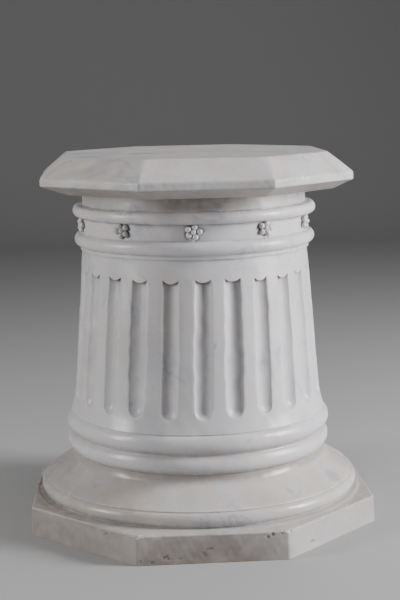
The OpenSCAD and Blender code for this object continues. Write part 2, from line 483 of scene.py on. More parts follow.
    # brown dirt lies on the corners of the flat top and against the seat, most at the left
    on_top = smooth(top - 5 * MM, top - 1 * MM, z) * smooth(ROLL_OUT - 4 * MM, ROLL_OUT - 2 * MM, radius)
    azimuth = azimuth_of(points)
    left = around(azimuth, -75, 42)
    inner = 1 - smooth(SEAT_R + 3 * MM, SEAT_R + 22 * MM, radius) * 0.55
    lying = on_top * (0.14 + 0.46 * left) * inner
    lying *= mottle(points, 30 * MM, 42, 0.85, 0.25)
    # the front face is darker, more towards the bottom: dirt, and painted shade where less light reaches low
    # down; it is greyed in the vein amounts too; the left side is darker as well
    face = 1 - smooth(top - 4 * MM, top - 1 * MM, z)
    front = around(azimuth, -3, 24, 4) * face * (1.15 - 0.5 * z / top)
    cloudy = mottle(points, 35 * MM, 45, 0.9, 0.16)
    shell.grime_and_shade = np.maximum.reduce([dark * 0.95, soiled, lying, worn * 0.12, front * 0.60 * cloudy,
                                     west_side(points) * face * 0.50 * cloudy,
                                     smooth(0.2 * MM, 2.5 * MM, chipped) * 0.22])
    marks = [(on_side(45, half, x0 * MM, z0 * MM), on_side(45, half, x1 * MM, z1 * MM))
             for x0, z0, x1, z1 in ((6, 22, 22, 24), (-68, 15, -54, 13))]
    bruises = np.maximum.reduce([streak(points, pair, 2.2 * MM) for pair in marks])
    shell.vein_and_shade = np.maximum.reduce([
        mottle(points, 60 * MM, 43, 0, 0.5) * 0.4,
        bruises * 0.7,
        front * (0.62 + 0.25 * ripple(points, 50 * MM, 44)),
    ])
    return make_piece("plinth_block", [shell], material, "plinth")


def build_base_moulding(material):
    roll_centre = (ROLL_OUT - ROLL_ROUND, SEAT_Z + ROLL_ROUND)
    rim = 1.5 * MM
    profile = np.concatenate([
        line((CORE_R, SEAT_Z), (ROLL_OUT - 5.9 * MM, SEAT_Z), 4),
        [(ROLL_OUT - 5.6 * MM, SEAT_Z + 1.4 * MM)],
        arc(roll_centre, ROLL_ROUND, -52, 58, 19),
        [(SLOPE_FOOT_R - 0.9 * MM, SLOPE_Z - 1.6 * MM)],
        arc((SLOPE_FOOT_R - rim - 0.3 * MM, SLOPE_Z - 0.6 * MM), rim, -40, 62, 5),
        bezier([(SLOPE_FOOT_R - 2.4 * MM, SLOPE_Z + 1.6 * MM),
                (SLOPE_FOOT_R - 18.5 * MM, SLOPE_Z + 11.5 * MM),
                (COVE_R + 11 * MM, COVE_Z - 10 * MM), (COVE_R, COVE_Z)], 26),
        bezier([(COVE_R, COVE_Z), (COVE_R - 5 * MM, COVE_Z + 4.5 * MM),
                (SLOPE_HEAD_R + 1.2 * MM, COVE_Z + 8 * MM), (SLOPE_HEAD_R + 0.5 * MM, SHAFT_Z + 0.3 * MM)],
               14)[1:],
        line((SLOPE_HEAD_R - 1 * MM, SHAFT_Z + 0.4 * MM), (CORE_R, SHAFT_Z), 3),
    ])
    azimuths = np.linspace(0, 360, 800, endpoint=False)
    shell = lathe(profile, azimuths)
    points = shell.points
    z = points[..., 2].copy()
    inside = smooth(SEAT_Z, SEAT_Z + 4 * MM, z) * (1 - smooth(SHAFT_Z - 3 * MM, SHAFT_Z - 0.3 * MM, z))
    push_out(points, (ripple(points, 110 * MM, 51) * 0.4 - 0.3) * MM * inside)
    push_out(points, ripple(points, 25 * MM, 52) * 0.10 * MM * inside)
    azimuth = azimuth_of(points)
    # painted shade: a thin line in the quirk above the roll, a line where the roll meets the seat (stronger
    # at the left), and the cove under the foot bead, which carries dirt as well and is greyed in the vein
    # amounts; the left side is darker
    quirk_line = around(z, SLOPE_Z - 1.6 * MM, 1.0 * MM)
    foot_line = around(z, SEAT_Z, 2.8 * MM)
    cove = smooth(SHAFT_Z - 17 * MM, SHAFT_Z - 6 * MM, z)
    patchy = mottle(points, 45 * MM, 53, 0.75, 0.35)
    left = around(azimuth, -80, 45)
    mark = [(29.6, 0.2370, 107.5 * MM), (31.4, 0.2465, 99 * MM), (32.8, 0.2610, 88.5 * MM)]
    path = [heading(np.array(a)) * r + np.array([0, 0, up]) for a, r, up in mark]
    shell.grime_and_shade = np.maximum.reduce([
        quirk_line * 0.22 * patchy,
        foot_line * (0.25 + 0.35 * left),
        cove * 0.40,
        inside * smooth(SLOPE_Z, SLOPE_Z + 4 * MM, z) * 0.15 * around(azimuth, -8, 40),
        west_side(points) * inside * 0.36 * (0.7 + 0.3 * patchy),
        (1 - smooth(SLOPE_Z - 4 * MM, SLOPE_Z, z)) * inside * 0.19 * around(azimuth, -8, 36),
        streak(points, path, 2.3 * MM) * 0.62,
    ])
    cross = [heading(np.array(a)) * 0.2605 + np.array([0, 0, 89 * MM]) for a in (31.0, 34.2)]
    shell.vein_and_shade = np.maximum.reduce([
        streak(points, path, 3 * MM) * 0.6,
        streak(points, cross, 2.3 * MM) * 0.6,
        spots(points, [(heading(np.array(60)) * 0.262 + np.array([0, 0, 88 * MM]), 24 * MM)], 0.5, 54) * 0.95,
        mottle(points, 90 * MM, 55, -0.2) * 0.4,
        cove * 0.45,
    ])
    points[..., 0] += SHAFT_SHIFT * smooth(SLOPE_Z, SHAFT_Z, z)
    return make_piece("base_moulding_block", [shell], material, "base_moulding")


def foot_bead(out, middle, z):
    """Radius of a foot bead at levels z, falling away steeply beyond its round."""
    off = np.abs(z - middle)
    height = np.sqrt(np.clip(FOOT_BEAD_ROUND ** 2 - off ** 2, 0, None))
    return out - FOOT_BEAD_ROUND + height - 4 * np.clip(off - FOOT_BEAD_ROUND, 0, None)


def flare_profile():
    """The concave sweep from the upper foot bead up to the straight taper."""
    start = math.atan(TAPER)
    end = 2 * math.atan((FLARE_FOOT_R - SHAFT_LOW_R) / FLARE_H) - start
    bend = FLARE_H / (math.sin(end) - math.sin(start))
    a = np.linspace(end, start, 40)
    r = SHAFT_LOW_R + bend * (math.cos(start) - np.cos(a))
    z = TAPER_Z - bend * (np.sin(a) - math.sin(start))
    return r, z


def shaft_radius(z):
    """The shaft's outline between the base moulding and the thin band, without the flutes."""
    r, level = flare_profile()
    taper = SHAFT_LOW_R - (z - TAPER_Z) * TAPER
    body = np.where(z < TAPER_Z, np.interp(z, level, r), taper)
    body = body - 3 * np.clip(FLARE_Z - z, 0, None)
    upper = foot_bead(FOOT_BEAD_OUT, SHAFT_Z + 1.5 * FOOT_BEAD_H, z)
    lower = foot_bead(FOOT_BEAD_OUT - FOOT_BEAD_STEP, SHAFT_Z + 0.5 * FOOT_BEAD_H, z)
    return soft_max(soft_max(body, upper, 1.6 * MM), lower, 9 * MM)


def flute_columns(rng):
    """Azimuth, place across its flute (-1 to 1, or beyond on the fillets) and flute number of
    each column round the shaft."""
    across = np.sin(np.linspace(-1, 1, 15) * math.pi / 2)
    pitch = 360 / FLUTES
    gap = pitch / FLUTE_HALF - 1
    fillet = np.linspace(1, gap, 7)[1:-1]
    place = np.concatenate([across, fillet])
    shift = rng.normal(0, 0.30, FLUTES + 1)
    wide = rng.normal(1, 0.03, FLUTES + 1)
    for k, degrees in FLUTE_SHIFTS.items():
        shift[k % FLUTES] = degrees
    shift[-1], wide[-1] = shift[0], wide[0]
    azimuth, places, number = [], [], []
    for k in range(FLUTES):
        right = k * pitch + shift[k] + FLUTE_HALF * wide[k]
        next_left = (k + 1) * pitch + shift[k + 1] - FLUTE_HALF * wide[k + 1]
        azimuth.append(k * pitch + shift[k] + FLUTE_HALF * wide[k] * across)
        azimuth.append(right + (next_left - right) * (fillet - 1) / (gap - 1))
        places.append(place)
        number.append(np.full(len(place), k))
    return np.concatenate(azimuth), np.concatenate(places), np.concatenate(number)


def build_shaft(material):
    rng = np.random.default_rng(61)
    azimuth, place, number = flute_columns(rng)
    cols = len(azimuth)
    in_flute = np.abs(place) < 0.9999
    across = np.clip(np.where(np.abs(place) <= 1, place, 1), -1, 1)
    foot_jog = rng.normal(-1 * MM, 1.2 * MM, FLUTES)[number]
    head_jog = rng.normal(0, 0.9 * MM, FLUTES)[number]
    sag = (LIP_SAG * rng.normal(1, 0.10, FLUTES))[number]
    deep = FLUTE_DEPTH * rng.normal(1, 0.06, FLUTES)
    deep[0] *= FRONT_FLUTE_SHARE
    deep = deep[number]

    foot_half_w = shaft_radius(np.array(FLUTE_FOOT_Z)) * math.radians(FLUTE_HALF)
    foot_mid = FLUTE_FOOT_Z + foot_half_w + foot_jog * in_flute
    foot = foot_mid - foot_half_w * np.sqrt(np.clip(1 - across ** 2, 0, 1)) * in_flute
    head = FLUTE_HEAD_Z + head_jog * in_flute - sag * (1 - across ** 2) * in_flute
    low_level = np.full(cols, FLUTE_FOOT_Z - 4 * MM)
    mid_level = np.full(cols, FLUTE_FOOT_Z + foot_half_w + 4 * MM)
    high_level = np.full(cols, FLUTE_HEAD_Z - LIP_SAG - 8 * MM)
    end_level = np.full(cols, FLUTE_HEAD_Z + 5 * MM)

    rows_z, rows_cut = [], []

    def add_row(level, cut):
        rows_z.append(level)
        rows_cut.append(cut)

    def rise(start, end, steps, power=1.0, last=True):
        t = np.linspace(0, 1, steps) ** power
        return [start + (end - start) * u for u in (t if last else t[:-1])]

    for level in rise(np.full(cols, SHAFT_Z + 0.2 * MM), np.full(cols, FLARE_Z + 3 * MM), 62):
        add_row(level, 0)
    for level in rise(np.full(cols, FLARE_Z + 3 * MM), low_level, 7, last=False)[1:]:
        add_row(level, 0)
    for level in rise(low_level, foot, 4):
        add_row(level, 0)
    for level in rise(foot, mid_level, 13, 1.6)[1:]:
        add_row(level, 1)
    for level in rise(mid_level, high_level, 26)[1:]:
        add_row(level, 1)
    for level in rise(high_level, head - 1.2 * MM, 6)[1:]:
        add_row(level, 1)
    # the lip hangs over the channel: the roof goes in and slightly up behind it
    for back, up in ((1.0, 0.7), (0.66, 0.5), (0.3, 0.25), (0.0, 0.0)):
        add_row(head - np.where(in_flute, -up * MM, (0.3 + back) * MM), back)
    for level in rise(head, end_level, 6)[1:]:
        add_row(level, 0)
    for level in rise(end_level, np.full(cols, BAND_Z - 0.3 * MM), 7)[1:]:
        add_row(level, 0)

    z = np.stack(rows_z)
    cut = np.array(rows_cut, float)[:, None]
    # a round channel that ends below in a quarter round
    half_w = shaft_radius(z) * math.radians(FLUTE_HALF)
    below = np.clip(foot_mid - z, 0, None) / half_w
    off = np.clip(across ** 2 + below ** 2, 0, 1)
    bend, stand = 1.4, 0.98
    channel = (np.sqrt(bend ** 2 - off) - stand) / (bend - stand) * deep
    arris = 0.35 * MM
    channel = (np.sqrt(channel ** 2 + arris ** 2) - arris) * in_flute * (off < 1)
    depth = channel * cut
    r = shaft_radius(z) - depth
    lean = FLUTE_TURN + FLUTE_LEAN * (1 - smooth(FLUTE_FOOT_Z, FLUTE_HEAD_Z, z))
    # the flutes are a little wider at mid-height
    t = np.clip((z - FLUTE_FOOT_Z) / (FLUTE_HEAD_Z - FLUTE_FOOT_Z), 0, 1)
    gap = 360 / FLUTES / FLUTE_HALF - 1
    push = np.where(np.abs(place) <= 1, place, 1 - 2 * (place - 1) / (gap - 1))
    belly = FLUTE_BELLY * np.sin(math.pi * t) * push
    # hand-cut edges wander a little from side to side
    straight = heading(azimuth) * SHAFT_LOW_R + np.zeros((len(z), 1, 3))
    straight[..., 2] = z
    wander = FLUTE_WANDER * ripple(straight, 38 * MM, 66) * np.sin(math.pi * t)
    body = heading(azimuth[None] + lean + belly + wander) * r[..., None]
    body[..., 2] = z

    foot_rings = [(CORE_R, SHAFT_Z), (0.214, SHAFT_Z)]
    feet = lathe(np.array(foot_rings), azimuth + FLUTE_TURN + FLUTE_LEAN).points
    top_ring = heading(azimuth + FLUTE_TURN)[None] * np.array([SHAFT_TOP_R - 0.4 * MM, CORE_R])[:, None, None]
    top_ring[..., 2] = BAND_Z
    shell = Shell(np.concatenate([feet, body, top_ring]))
    points = shell.points
    z = points[..., 2].copy()
    radius = radius_of(points)
    shown = smooth(0.19, 0.195, radius) * (1 - smooth(BAND_Z - 2 * MM, BAND_Z - 0.4 * MM, z))
    push_out(points, ripple(points, 130 * MM, 62) * 0.45 * MM * shown)
    push_out(points, ripple(points, 30 * MM, 63) * 0.15 * MM * shown)

    patchy = mottle(points, 40 * MM, 64, 0.7, 0.45)
    # broad dark bands at the undersides of the two foot beads: painted shade with some dirt; thin dark lines
    # at the foot of the flare and at the band
    grooves = groove_dirt_and_shade(z, ((SHAFT_Z + 2 * MM, 7.5, 0.42), (SHAFT_Z + FOOT_BEAD_H + 2 * MM, 7.5, 0.40),
                              (FLARE_Z - 0.5 * MM, 1.2, 0.16), (BAND_Z, 1.2, 0.2)))

    def on_body(amount):
        """An amount given for the body's rows only, as one for every row of the shell."""
        spread = np.zeros_like(z)
        spread[len(feet):len(feet) + len(depth)] = amount
        return spread

    # the flute channels are darkened with their depth, a painted shade, in the grime and the vein amounts
    sunk = on_body(depth / FLUTE_DEPTH)
    level = np.stack(rows_z)
    # painted shade under the overhanging lip at the head of each channel, fading down the channel's middle
    near_lip = around(level, head, 5.5 * MM) * cut * in_flute
    deep_shade = np.exp(-(np.clip(head - level, 0, None) / (13 * MM)) ** 2) * cut * in_flute
    lip_shade = on_body(np.maximum(near_lip, deep_shade * (1 - across ** 2) * 0.42))
    # darker along the round feet of the flutes
    flute_foot_dark = on_body(around(level, foot, 5 * MM) * cut * in_flute)
    pits = [(heading(np.array(a)) * r + np.array([0, 0, up * MM]), 2.2 * MM)
            for a, r, up in ((4.6, 0.2105, 339), (29.6, 0.2075, 265), (-58, 0.2350, 177), (-52, 0.2335, 163))]
    crack = [(-43.8, 481), (-38, 474), (-33.5, 464), (-29.4, 455), (-26.8, 447), (-25.6, 441)]
    hairline = [heading(np.array(a)) * (shaft_radius(np.array(up * MM)) + 0.2 * MM)
                + np.array([0, 0, up * MM]) for a, up in crack]
    shell.grime_and_shade = np.maximum.reduce([grooves * (0.75 + 0.25 * patchy), sunk * 0.14 * patchy, lip_shade * 0.9,
                                     flute_foot_dark * 0.12, spots(points, pits) * 0.7])
    shell.vein_and_shade = np.maximum.reduce([
        streak(points, hairline, 1.7 * MM) * 0.75,
        mottle(points, 120 * MM, 65, -0.35) * 0.35,
        sunk * 0.12,
    ])
    points[..., 0] += SHAFT_SHIFT
    return make_piece("shaft_block", [shell], material, "shaft")


def rosette_layout():
    """Every round of every rosette: azimuth of its rosette, x to the right, y up, radius, stand-out."""
    rng = np.random.default_rng(81)
    rounds = []
    for k in range(ROSETTES):
        azimuth = ROSETTE_TURN + k * 360 / ROSETTES + ROSETTE_SHIFTS.get(k, 0)
        rounds.append((azimuth, 0, 0, BOSS_R * rng.uniform(0.95, 1.05), BOSS_OUT))
        turn = PETAL_TURN + rng.normal(0, 5) * (k > 0) + 36 * (k == ROSETTES - 1)
        for i in range(PETALS):
            a = math.radians(turn + i * 360 / PETALS + rng.normal(0, 3))
            reach = rng.uniform(0.94, 1.04)
            rounds.append((azimuth, PETAL_SPREAD * reach * math.cos(a), PETAL_RISE * reach * math.sin(a),
                           PETAL_R * rng.uniform(0.94, 1.06), PETAL_OUT * rng.uniform(0.85, 1.2)))
    return rounds


def rosette_dirt(azimuth):
    """The front rosette is clean, the one to its left is brown, the others lie between."""
    number = round((azimuth - ROSETTE_TURN) * ROSETTES / 360)
    return {0: 0.40, ROSETTES - 1: 1.0}.get(number, 0.6)


def build_necking(material):
    """The turned top of the shaft: thin band, two beads, frieze with its drilled hollows, neck."""
    azimuths = np.linspace(0, 360, 480, endpoint=False)
    lower_centre = (LOWER_BEAD_OUT - LOWER_BEAD_H / 2, LOWER_BEAD_Z + LOWER_BEAD_H / 2)
    upper_centre = (UPPER_BEAD_OUT - UPPER_BEAD_H / 2, UPPER_BEAD_Z + UPPER_BEAD_H / 2)
    lower_part = np.concatenate([
        [(CORE_R, BAND_Z - 0.4 * MM), (BAND_R - 1.6 * MM, BAND_Z - 0.4 * MM)],
        [(BAND_R - 0.5 * MM, BAND_Z), (BAND_R, BAND_Z + 1.2 * MM)],
        line((BAND_R, BAND_Z + 3 * MM), (BAND_R, LOWER_BEAD_Z), 3),
        arc(lower_centre, LOWER_BEAD_H / 2, -76, 86, 19),
        [(FRIEZE_R - 1 * MM, FRIEZE_Z), (CORE_R, FRIEZE_Z)],
    ])
    upper_part = np.concatenate([
        [(CORE_R, UPPER_BEAD_Z), (FRIEZE_R - 1 * MM, UPPER_BEAD_Z)],
        arc(upper_centre, UPPER_BEAD_H / 2, -96, 104, 21),
        line((NECK_R, UPPER_BEAD_Z + UPPER_BEAD_H + 0.2 * MM), (NECK_R, SLAB_Z - 0.5 * MM), 9),
        [(NECK_R - 0.5 * MM, SLAB_Z), (CORE_R, SLAB_Z)],
    ])
    lower = lathe(lower_part, azimuths)
    upper = lathe(upper_part, azimuths)

    # the frieze has close columns at each rosette, where the ground is drilled out round the petals
    pitch = 360 / ROSETTES
    close = np.linspace(-5.4, 5.4, 52)
    plain = np.linspace(5.4, pitch - 5.4, 9)[1:-1]
    step = np.concatenate([close, plain])
    columns = np.concatenate([ROSETTE_TURN + k * pitch + step for k in range(ROSETTES)])
    rows = np.concatenate([
        [(CORE_R, FRIEZE_Z - 2 * MM)],
        line((FRIEZE_R, FRIEZE_Z - 2 * MM), (FRIEZE_R, UPPER_BEAD_Z + 2 * MM), 40),
        [(CORE_R, UPPER_BEAD_Z + 2 * MM)],
    ])
    frieze = lathe(rows, columns)
    face = radius_of(frieze.points) > 0.19
    hollow = np.zeros(frieze.points.shape[:2])
    # the drilled hollows round the petals are darkened, painted shade and dirt, scaled by each rosette's
    # dirt; a wider smear of dirt lies round them
    hollow_dirt_and_shade = np.zeros_like(hollow)
    smear = np.zeros_like(hollow)
    wobble = 1 + 0.14 * ripple(frieze.points, 7 * MM, 72)
    for azimuth, x, y, radius, _ in rosette_layout():
        middle = heading(np.array(azimuth)) * FRIEZE_R + along(np.array(azimuth)) * x
        away = np.linalg.norm(frieze.points - middle - np.array([0, 0, ROSETTE_Z + y]), axis=-1) * wobble
        near = 1 - smooth(radius + 0.2 * MM, radius + 2.4 * MM, away)
        hollow = np.maximum(hollow, near)
        hollow_dirt_and_shade = np.maximum(hollow_dirt_and_shade, near * rosette_dirt(azimuth))
        smear = np.maximum(smear, (1 - smooth(radius + 1 * MM, radius + 6 * MM, away))
                           * rosette_dirt(azimuth))
    push_out(frieze.points, -hollow * face * 1.6 * MM)
    frieze.grime_and_shade = np.maximum(hollow_dirt_and_shade * 0.8, smear * 0.2) * face

    for shell, seed in ((lower, 73), (frieze, 74), (upper, 75)):
        points = shell.points
        shown = smooth(0.19, 0.195, radius_of(points))
        push_out(points, ripple(points, 90 * MM, 62) * 0.35 * MM * shown)
        push_out(points, ripple(points, 24 * MM, seed) * 0.12 * MM * shown)

    for shell in (lower, frieze, upper):
        points = shell.points
        z = points[..., 2]
        azimuth = azimuth_of(points)
        patchy = mottle(points, 30 * MM, 76, 0.7, 0.45)
        front = around(azimuth, -1, 29, 4)
        # painted shadow of the slab on the neck and the top of the upper bead, strongest at the front; from
        # the upper bead up the front gets more painted shade, with some dirt
        slab_shadow = smooth(SLAB_Z - 26 * MM, SLAB_Z - 18 * MM, z) * (0.03 + 0.68 * front)
        slab_shadow *= 0.8 + 0.2 * smooth(SLAB_Z - 16 * MM, SLAB_Z, z)
        shadowed = front * smooth(UPPER_BEAD_Z - 2 * MM, UPPER_BEAD_Z + 4 * MM, z) * 0.20
        # dark lines in the grooves between the rings: dirt and painted shade
        lines = groove_dirt_and_shade(z, ((LOWER_BEAD_Z, 1.7, 0.32), (FRIEZE_Z, 1.8, 0.25), (UPPER_BEAD_Z, 2.4, 0.5),
                                (BAND_Z, 1.3, 0.2), (UPPER_BEAD_Z + UPPER_BEAD_H, 1.8, 0.4)))
        slab_shadow *= 0.8 + 0.2 * patchy
        shell.grime_and_shade = np.maximum.reduce([shell.grime_and_shade, lines * patchy, slab_shadow, shadowed * patchy])
        shell.vein_and_shade = mottle(points, 100 * MM, 77, -0.3) * 0.35
        points[..., 0] += SHAFT_SHIFT
    return make_piece("shaft_necking", [lower, frieze, upper], material, "shaft")


def ball(centre, azimuth, radius, seed):
    """A petal or a boss: a ball with an uneven, hand-drilled surface."""
    rng = np.random.default_rng(seed)
    up = np.linspace(-1, 1, 13)[1:-1] * math.pi / 2
    turn = np.linspace(0, 2 * math.pi, 20, endpoint=False)
    out = np.stack([np.cos(up)[:, None] * np.cos(turn), np.cos(up)[:, None] * np.sin(turn),
                    np.repeat(np.sin(up)[:, None], len(turn), axis=1)], axis=-1)
    bumpy = 1 + 0.05 * ripple(out, 1.3, seed)
    right, face = along(np.array(azimuth)), heading(np.array(azimuth))
    wide, tall = rng.uniform(0.94, 1.06, 2)
    local = out * bumpy[..., None] * radius
    points = (centre + local[..., 0, None] * right * wide - local[..., 1, None] * face * 0.94
              + local[..., 2, None] * np.array([0, 0, tall]))
    return Shell(points)


def build_rosettes(material):
    shells = []
    for i, (azimuth, x, y, radius, out) in enumerate(rosette_layout()):
        face = heading(np.array(azimuth))
        ground = face * FRIEZE_R + along(np.array(azimuth)) * x + np.array([SHAFT_SHIFT, 0, ROSETTE_Z + y])
        shell = ball(ground + face * out, azimuth, radius, 90 + i)
        # painted shade on the flanks, crowns left light; the dirtier rosettes also get dirt on their crowns
        stand = (shell.points - ground) @ face
        crown = smooth(out - 2 * MM, out + radius * 0.3, stand)
        rough = mottle(shell.points, 4 * MM, 82, 0.85, 0.3)
        kept = rosette_dirt(azimuth)
        on_crown = crown * 0.34 * smooth(0.4, 1.2, np.array(kept))
        shell.grime_and_shade = (1 - crown) * (0.62 - 0.2 * kept) * rough + on_crown
        shells.append(shell)
    return make_piece("frieze_rosettes", shells, material, "shaft", sharp=80)


def build_top_slab(material):
    band_0 = SLAB_Z + UNDER_BEVEL_H
    band_1 = band_0 + SLAB_BAND_H
    top_half = SLAB_HALF - TOP_BEVEL_IN
    under_half = SLAB_HALF - UNDER_BEVEL_IN
    columns = octagon_columns(side_steps=84, corner_steps=5)
    edge = 2.2 * MM
    soft = 3.2 * MM
    a, b = (under_half, SLAB_Z), (SLAB_HALF, band_0)
    c, d = (SLAB_HALF, band_1), (top_half, TOP_Z)

    def between(start, end, gap_0, gap_1, count):
        start, end = np.array(start), np.array(end)
        run = (end - start) / np.linalg.norm(end - start)
        return line(start + run * gap_0, end - run * gap_1, count)

    profile = np.concatenate([
        line((CORE_R, SLAB_Z), (under_half - 4 * MM, SLAB_Z), 4),
        rounded_edge((CORE_R, SLAB_Z), a, b, 2 * MM, 4),
        between(a, b, 4 * MM, 4 * MM, 14),
        rounded_edge(a, b, c, edge, 5),
        between(b, c, 3.2 * MM, 4.4 * MM, 4),
        rounded_edge(b, c, d, soft, 6),
        between(c, d, 5 * MM, 5 * MM, 20),
        rounded_edge(c, d, (CORE_R, TOP_Z), soft, 6),
        line((top_half - 5 * MM, TOP_Z), (0.06, TOP_Z), 14),
    ])
    # corners given one by one: each vertex of the band and of the top face sits a little off
    band_slide = np.array([2, 1, -3, 2, 0, -2, 2, 5]) * MM
    top_slide = np.array([9, -3, 2, -2, 3, -4, 2, -2]) * MM
    rings = []
    for apothem, z in profile:
        t = float(smooth(band_1, TOP_Z, np.array(z)))
        slide = band_slide * (1 - t) + top_slide * t
        slide = slide * min(1.0, apothem / top_half)
        ring = octagon_ring(apothem, (2.5 + 6 * t) * MM * min(1.0, apothem / top_half), z, columns, slide)
        ring[:, 0] += UNDER_SHIFT * (1 - float(smooth(SLAB_Z, band_0, np.array(z))))
        rings.append(ring)
    shell = Shell(np.stack(rings))
    points = shell.points
    z = points[..., 2].copy()
    radius = radius_of(points)
    shown = smooth(SLAB_Z + 0.5 * MM, SLAB_Z + 5 * MM, z) * (1 - smooth(TOP_Z - 2 * MM, TOP_Z - 0.4 * MM, z))
    push_out(points, (ripple(points, 90 * MM, 101) * 0.5 - 0.5) * MM * shown)
    push_out(points, ripple(points, 14 * MM, 102) * 0.14 * MM * shown)
    near_edge = around(z, band_1, 5 * MM) + around(z, TOP_Z, 4 * MM) * (
        smooth(top_half - 6 * MM, top_half, radius))
    worn = mottle(points, 20 * MM, 103, -0.2) * near_edge
    push_out(points, -worn * 1.0 * MM)

    chipped = np.zeros_like(z)
    reach = SLAB_HALF / math.cos(math.radians(HALF_TURN))
    for azimuth, rise, depth, seed in ((67.5, 20, 1.5 * MM, 111), (-67.5, 10, 1.2 * MM, 112),
                                       (112.5, 30, 2.5 * MM, 113), (-157.5, 20, 2.5 * MM, 114)):
        corner = heading(np.array(azimuth)) * reach + np.array([0, 0, band_1])
        chipped += cut_corner(points, azimuth, rise, corner, depth, seed)

    # yellow-brown spots on the right facet, and a faint vein across the front one
    slope_in = TOP_BEVEL_IN / (TOP_Z - band_1)

    def on_bevel(side, x, up):
        return on_side(side, SLAB_HALF - slope_in * max(0.0, up * MM - band_1), x * MM, up * MM)

    spot_places = [(on_bevel(45, x, up), r * MM) for x, up, r in (
        (-56, 612, 4.5), (67, 615.5, 4.5), (-28, 637, 3), (66, 616, 9), (-40, 640, 2.2))]
    scuffs = [[on_bevel(-45, x0, up0), on_bevel(-45, x1, up1)] for x0, up0, x1, up1 in (
        (-104, 618, -78, 642), (-97, 617, -86, 628), (-88, 634, -66, 645))]
    vein_path = [on_bevel(0, x, up)
                 for x, up in ((-101, 632), (-88, 636), (-77, 640), (-63, 645), (-52, 649))]
    azimuth = azimuth_of(points)
    on_top = smooth(TOP_Z - 1.5 * MM, TOP_Z - 0.2 * MM, z)
    veining = mottle(points, 70 * MM, 104, 0.2)
    left = around(azimuth, -80, 40)
    patchy = mottle(points, 30 * MM, 105, 0.7, 0.45)
    # the downward-facing under bevel is darker, more at the sides: dirt and painted shade
    under = 1 - smooth(band_0 - 0.6 * MM, band_0 + 0.6 * MM, z)
    facet = around(azimuth, -47, 21, 6) * (1 - on_top)
    shell.grime_and_shade = np.maximum.reduce([
        spots(points, spot_places, 0.3, 106) * 0.30,
        under * (0.26 + 0.08 * patchy + 0.28 * np.abs(np.sin(np.radians(azimuth)))),
        facet * 0.19 * patchy,
        around(azimuth, 0, 21, 6) * (1 - on_top) * smooth(band_1 - 1 * MM, band_1 + 1 * MM, z) * 0.11,
        np.maximum.reduce([streak(points, path, 3.2 * MM) for path in scuffs]) * 0.34,
        worn * 0.08,
        smooth(0.5 * MM, 3 * MM, chipped) * 0.25,
        on_top * left * veining * 0.22,
    ])
    shell.vein_and_shade = np.maximum.reduce([
        streak(points, vein_path, 1.8 * MM) * 0.45,
        on_top * (0.10 + 0.5 * veining * left),
        mottle(points, 80 * MM, 107, -0.3) * 0.4,
    ])
    return make_piece("top_slab_block", [shell], material, "top_slab")


# ---------------------------------------------------------------- materials

def add_node(tree, kind, **settings):
    node = tree.nodes.new(kind)
    for name, value in settings.items():
        setattr(node, name, value)
    return node


def noise_node(tree, coords, scale, detail, distortion=0.0, roughness=0.55):
    node = add_node(tree, "ShaderNodeTexNoise")
    node.inputs["Scale"].default_value = scale
    node.inputs["Detail"].default_value = detail
    node.inputs["Roughness"].default_value = roughness
    node.inputs["Distortion"].default_value = distortion
    tree.links.new(coords, node.inputs["Vector"])
    return node.outputs["Fac"]


def remap(tree, value, lo, hi, out_lo=0.0, out_hi=1.0):
    node = add_node(tree, "ShaderNodeMapRange", interpolation_type="SMOOTHSTEP")
    for key, number in (("From Min", lo), ("From Max", hi), ("To Min", out_lo), ("To Max", out_hi)):
        node.inputs[key].default_value = number
    tree.links.new(value, node.inputs["Value"])
    return node.outputs["Result"]


def calculate(tree, operation, a, b, clamp=True):
    node = add_node(tree, "ShaderNodeMath", operation=operation, use_clamp=clamp)
    for socket, value in zip(node.inputs, (a, b)):
        if isinstance(value, (int, float)):
            socket.default_value = value
        else:
            tree.links.new(value, socket)
    return node.outputs["Value"]


def mix_colour(tree, factor, a, b):
    node = add_node(tree, "ShaderNodeMix", data_type="RGBA")
    tree.links.new(factor, node.inputs["Factor"])
    colour_a = [s for s in node.inputs if s.name == "A" and s.type == "RGBA"][0]
    colour_b = [s for s in node.inputs if s.name == "B" and s.type == "RGBA"][0]
    for socket, value in ((colour_a, a), (colour_b, b)):
        if isinstance(value, tuple):
            socket.default_value = (*value, 1)
        else:
            tree.links.new(value, socket)
    return [s for s in node.outputs if s.type == "RGBA"][0]


